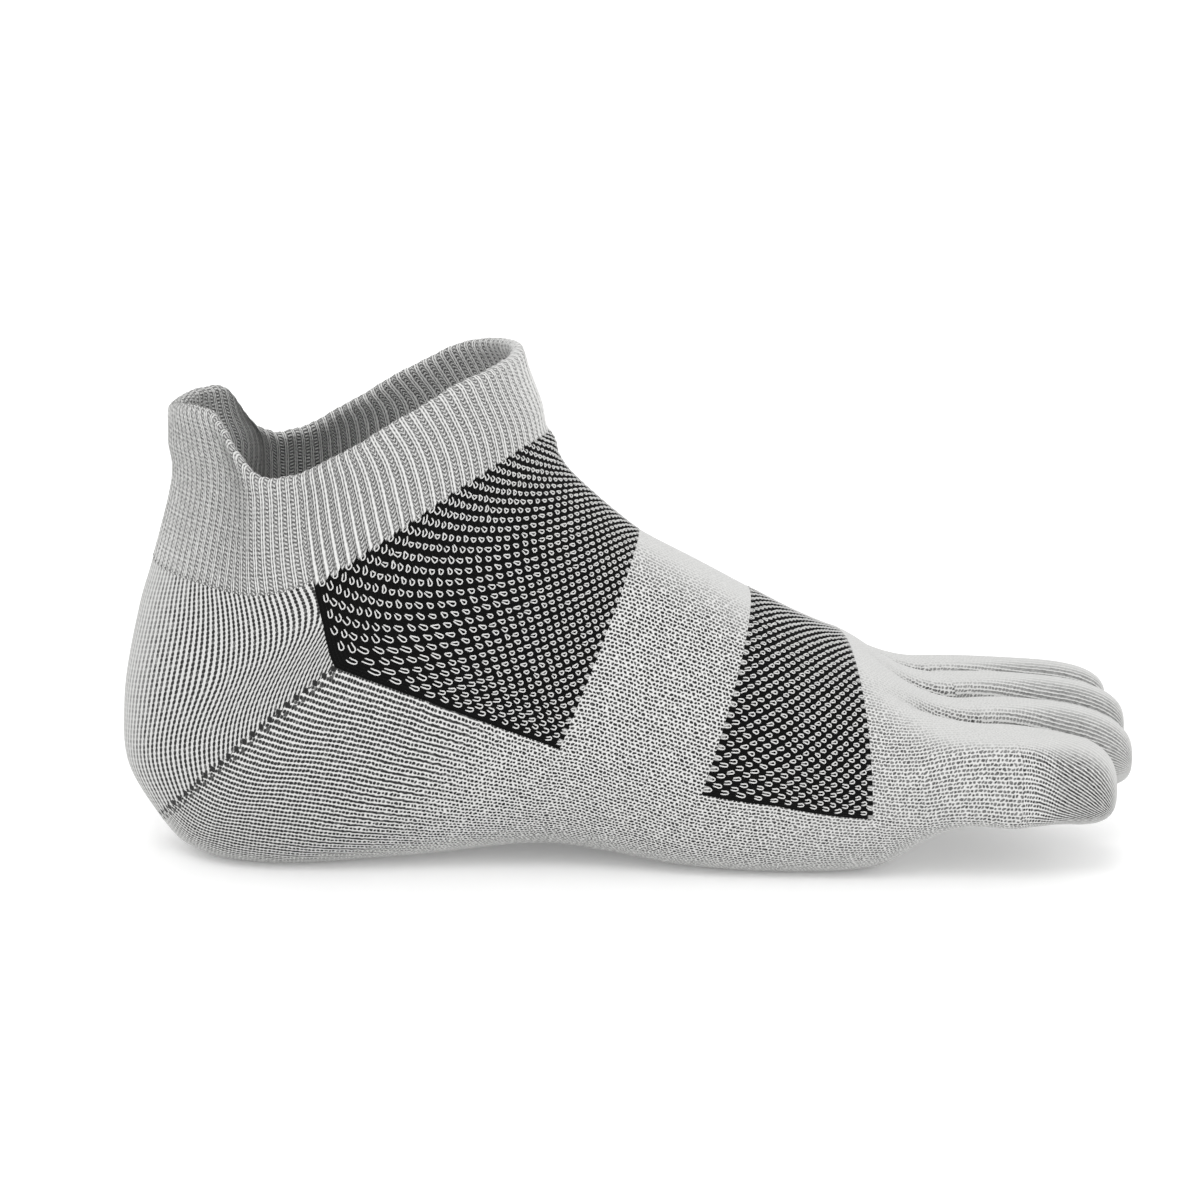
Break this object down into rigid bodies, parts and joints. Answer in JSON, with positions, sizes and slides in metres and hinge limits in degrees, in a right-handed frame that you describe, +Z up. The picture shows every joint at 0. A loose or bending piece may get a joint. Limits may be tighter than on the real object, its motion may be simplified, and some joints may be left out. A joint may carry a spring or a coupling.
{
  "type": "toe sock",
  "caption": "Low-cut knitted toe sock for a left foot, in its worn shape, with a ribbed cuff, a heel tab, mesh panels over the instep and a pocket for each toe.",
  "frame": {"origin": "on the leg's axis, in the middle of the cuff's opening, where the foot and ankle go in", "axes": "+X towards the toes, +Y towards the little toe, +Z up the leg"},
  "size_m": [0.2529, 0.0939, 0.1267],
  "materials": {
    "ribbed_cuff": "light grey ribbed knit",
    "heel_knit": "light grey plain knit",
    "foot_knit": "light grey plain knit",
    "two_colour_mesh": "black ground knit with light grey loops",
    "toe_knit": "light grey plain knit"
  },
  "bodies": {
    "root": {"cuff": "ribbed_cuff", "heel_pocket": "heel_knit", "instep_mesh": "two_colour_mesh", "foot_body": "foot_knit", "forefoot_mesh": "two_colour_mesh", "big_toe": "toe_knit", "second_toe": "toe_knit", "third_toe": "toe_knit", "fourth_toe": "toe_knit", "little_toe": "toe_knit"}
  },
  "joints": []
}
